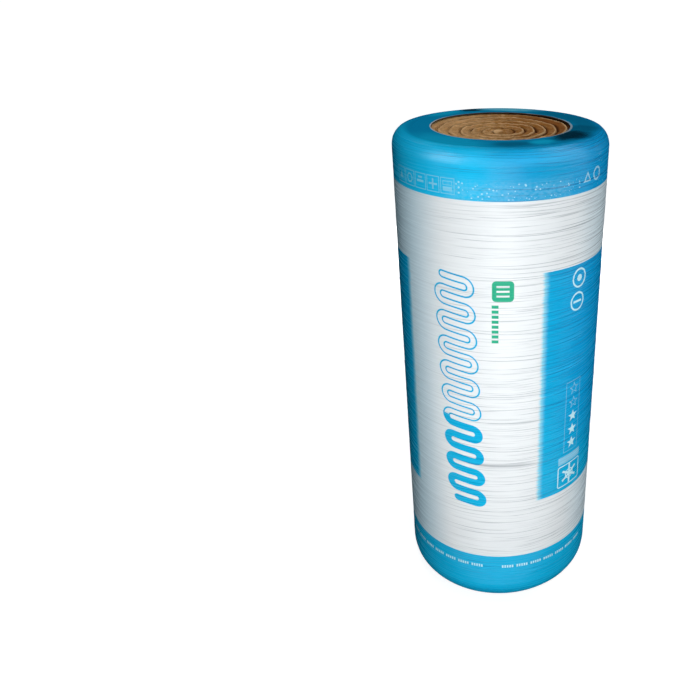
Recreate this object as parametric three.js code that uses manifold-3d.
// Wrapped insulation roll: a blanket of mineral wool rolled up tight, standing on its end in a
// printed polyethylene sleeve whose two ends are drawn in over the roll.
// Millimetres, +Z up. The origin is where the roll's axis meets the floor.

import * as THREE from 'three';
import { mergeVertices } from 'three/addons/utils/BufferGeometryUtils.js';
import Module from 'manifold-3d';

const wasm = await Module();
wasm.setup();

// ---- Driving dimensions -------------------------------------------------------------------

// The roll in its wrap
const rollRadius = 245;
const rollHeight = 1205;

// Rounded edge under the wrap's tension: how far it reaches in and along the axis
const shoulder = { inward: 30, along: 38 };
const foot = { inward: 58, along: 68 };

// The wrap: how far it is drawn in over each end, and the lip that it turns down there
const filmThickness = 0.3;
const drawnIn = 90;
const lipBend = 2;
const lipDepth = 3.5;
const lapWidth = 45;
const lapThickness = 0.3;
const lapBearing = THREE.MathUtils.degToRad(62);

// The rolled blanket: its dished ends, the pitch of its turns and the pillowed edges they show
const wrapClearance = 0.3;
const lipClearance = 1;
const dishLedge = 1;
const dishDepth = 13;
const turnPitch = 25;
const eyeRadius = 14;
const crestWidth = 7;
const grooveRoot = 1.2;
const grooveDepth = 10;

// Facets
const sides = 60;
const dishSides = 24;
const edgeSteps = 6;
const bendSteps = 2;
const grooveWallSteps = 2;
const grooveStepsPerTurn = 25;

// What follows from them
const openingRadius = rollRadius - drawnIn;
const woolInset = filmThickness + wrapClearance;
const sunkRadius = openingRadius + woolInset;
const sunkDepth = lipDepth + lipClearance;
const dishRadius = sunkRadius - dishLedge;
const grooveWidth = turnPitch - crestWidth;

// ---- Profiles, as radius and height ----------------------------------------------------------

const quarter = Math.PI / 2;

function arc(centre, radii, from, to, steps) {
  const points = [];
  for (let i = 0; i <= steps; i += 1) {
    const angle = from + ((to - from) * i) / steps;
    const radius = centre.x + radii.x * Math.cos(angle);
    const height = centre.y + radii.y * Math.sin(angle);
    points.push(new THREE.Vector2(radius, height));
  }
  return points;
}

// The rounded lower edge, the straight side and the rounded upper edge, moved in by `inset`.
function sideProfile(inset) {
  const footCentre = new THREE.Vector2(rollRadius - foot.inward, foot.along);
  const footRadii = new THREE.Vector2(foot.inward - inset, foot.along - inset);
  const shoulderCentre = new THREE.Vector2(
    rollRadius - shoulder.inward,
    rollHeight - shoulder.along,
  );
  const shoulderRadii = new THREE.Vector2(shoulder.inward - inset, shoulder.along - inset);
  return [
    ...arc(footCentre, footRadii, -quarter, 0, edgeSteps),
    ...arc(shoulderCentre, shoulderRadii, 0, quarter, edgeSteps),
  ];
}

// The whole skin from one opening's bend to the other's: bend, end ring, side, end ring, bend.
function skinProfile(inset) {
  const bend = new THREE.Vector2(lipBend - inset, lipBend - inset);
  const lowerBend = new THREE.Vector2(openingRadius + lipBend, lipBend);
  const upperBend = new THREE.Vector2(openingRadius + lipBend, rollHeight - lipBend);
  return [
    ...arc(lowerBend, bend, -2 * quarter, -quarter, bendSteps),
    ...sideProfile(inset),
    ...arc(upperBend, bend, quarter, 2 * quarter, bendSteps),
  ];
}

// How deep the wool's end lies below the wrap's outer face: a shallow dish inside the opening,
// and close under the ring that the wrap is drawn over.
function endDepth(radius) {
  if (radius > sunkRadius) {
    return woolInset;
  }
  return sunkDepth + dishDepth * Math.max(0, 1 - radius / dishRadius);
}

// ---- Solids ----------------------------------------------------------------------------------

// Merges a geometry's vertices into a closed mesh and drops the faces that shrank to nothing.
function solidOf(geometry) {
  const bare = geometry.clone();
  bare.deleteAttribute('normal');
  bare.deleteAttribute('uv');
  const merged = mergeVertices(bare, 1e-4);
  const index = merged.index.array;
  const corners = [];
  for (let i = 0; i < index.length; i += 3) {
    const [a, b, c] = [index[i], index[i + 1], index[i + 2]];
    if (a !== b && b !== c && c !== a) {
      corners.push(a, b, c);
    }
  }
  const mesh = new wasm.Mesh({
    numProp: 3,
    vertProperties: new Float32Array(merged.attributes.position.array),
    triVerts: new Uint32Array(corners),
  });
  return new wasm.Manifold(mesh);
}

function geometryOf(solid) {
  const mesh = solid.getMesh();
  const geometry = new THREE.BufferGeometry();
  geometry.setAttribute('position', new THREE.BufferAttribute(mesh.vertProperties, 3));
  geometry.setIndex(new THREE.BufferAttribute(mesh.triVerts, 1));
  geometry.computeVertexNormals();
  return geometry;
}

// Turns a profile about the Z axis.
function turned(profile, facets = sides) {
  const geometry = new THREE.LatheGeometry(profile, facets);
  geometry.rotateX(quarter);
  return solidOf(geometry);
}

// The seam between neighbouring turns: an Archimedean spiral that lies on an end of the roll.
class TurnSeam extends THREE.Curve {
  constructor(outerRadius, heightAt) {
    super();
    this.heightAt = heightAt;
    this.turns = (outerRadius - eyeRadius) / turnPitch;
    this.steps = Math.ceil(this.turns * grooveStepsPerTurn);
  }

  // The steps shorten towards the outside, where a turn is longer.
  getPoint(t, target = new THREE.Vector3()) {
    const turn = this.turns * t ** 0.75;
    const radius = eyeRadius + turnPitch * turn;
    const angle = 2 * Math.PI * turn;
    const x = radius * Math.cos(angle);
    const y = radius * Math.sin(angle);
    return target.set(x, y, this.heightAt(radius));
  }

  getSpacedPoints(divisions) {
    return this.getPoints(divisions);
  }

  // Sections stay upright: the first axis of a section points down, the second to the centre.
  computeFrenetFrames(segments) {
    const frames = { tangents: [], normals: [], binormals: [] };
    const down = new THREE.Vector3(0, 0, -1);
    for (let i = 0; i <= segments; i += 1) {
      const tangent = this.getTangent(i / segments).setZ(0).normalize();
      frames.tangents.push(tangent);
      frames.normals.push(down);
      frames.binormals.push(new THREE.Vector3().crossVectors(tangent, down));
    }
    return frames;
  }
}

// Section of the groove between two turns: the ends of the turns are pillowed, so its walls
// curve from flat at the top to upright at its narrow root.
function grooveSection(into) {
  const rise = grooveDepth;
  const wall = (grooveWidth - grooveRoot) / 2;
  const section = [];
  for (let i = 0; i <= grooveWallSteps; i += 1) {
    const angle = (quarter * i) / grooveWallSteps;
    const depth = grooveDepth * (1 - Math.cos(angle));
    const half = grooveRoot / 2 + wall * (1 - Math.sin(angle));
    section.push({ depth, half });
  }
  const shape = new THREE.Shape();
  shape.moveTo(-rise * into, grooveWidth / 2);
  section.forEach(({ depth, half }) => shape.lineTo(depth * into, half));
  section.reverse().forEach(({ depth, half }) => shape.lineTo(depth * into, -half));
  shape.lineTo(-rise * into, -grooveWidth / 2);
  return shape;
}

function turnGroove(outerRadius, heightAt, into) {
  const seam = new TurnSeam(outerRadius, heightAt);
  const options = { steps: seam.steps, extrudePath: seam, bevelEnabled: false };
  return solidOf(new THREE.ExtrudeGeometry(grooveSection(into), options));
}

// ---- The rolled blanket ------------------------------------------------------------------------

// What is hollowed out of an end: a shallow dish, and the groove along the seam of the turns.
// `at` turns a depth below the end into a height, and `into` is the way into the roll.
function endCut(edge, at, into) {
  const dish = [
    new THREE.Vector2(0, at(0)),
    new THREE.Vector2(dishRadius, at(endDepth(dishRadius))),
    new THREE.Vector2(0, at(endDepth(0))),
  ];
  if (into > 0) {
    dish.reverse();
  }
  const flatRadius = rollRadius - edge.inward;
  const groove = turnGroove(flatRadius - grooveWidth / 2, (radius) => at(endDepth(radius)), into);
  return turned(dish, dishSides).add(groove);
}

function woolRoll() {
  const lowerEnd = [0, sunkRadius].map((r) => new THREE.Vector2(r, sunkDepth));
  const upperEnd = [sunkRadius, 0].map((r) => new THREE.Vector2(r, rollHeight - sunkDepth));
  const body = turned([...lowerEnd, ...skinProfile(woolInset), ...upperEnd]);
  const lowerCut = endCut(foot, (depth) => depth, -1);
  const upperCut = endCut(shoulder, (depth) => rollHeight - depth, 1);
  return body.subtract(lowerCut).subtract(upperCut);
}

// ---- The printed sleeve --------------------------------------------------------------------------

function filmWrap() {
  const lowerLip = new THREE.Vector2(openingRadius, lipDepth);
  const upperLip = new THREE.Vector2(openingRadius, rollHeight - lipDepth);
  const thickness = new THREE.Vector2(filmThickness, 0);
  const outside = [lowerLip, ...skinProfile(0), upperLip];
  const inside = [
    lowerLip.clone().add(thickness),
    ...skinProfile(filmThickness),
    upperLip.clone().add(thickness),
  ];
  const sleeve = turned([...outside, ...inside.reverse(), lowerLip]);
  return sleeve.add(filmLap());
}

// The sleeve's upright seam, where one edge of the film laps over the other.
function filmLap() {
  const outside = sideProfile(-lapThickness).slice(1, -1);
  const inside = sideProfile(filmThickness / 2).slice(1, -1);
  const band = turned([...outside, ...inside.reverse(), outside[0]]);
  const slot = new THREE.BoxGeometry(2 * rollRadius, lapWidth, 2 * rollHeight);
  slot.translate(rollRadius, 0, 0);
  slot.rotateZ(lapBearing);
  return band.intersect(solidOf(slot));
}

// ---- The object ----------------------------------------------------------------------------------

const wool = new THREE.MeshStandardMaterial({ color: 0x9c6b3a, roughness: 0.95, metalness: 0 });
const film = new THREE.MeshStandardMaterial({ color: 0xe9f1f5, roughness: 0.3, metalness: 0 });

function piece(name, solid, material) {
  const mesh = new THREE.Mesh(geometryOf(solid), material);
  mesh.name = name;
  return mesh;
}

const roll = new THREE.Group();
roll.add(piece('wool_roll', woolRoll(), wool));
roll.add(piece('film_wrap', filmWrap(), film));

export default roll;
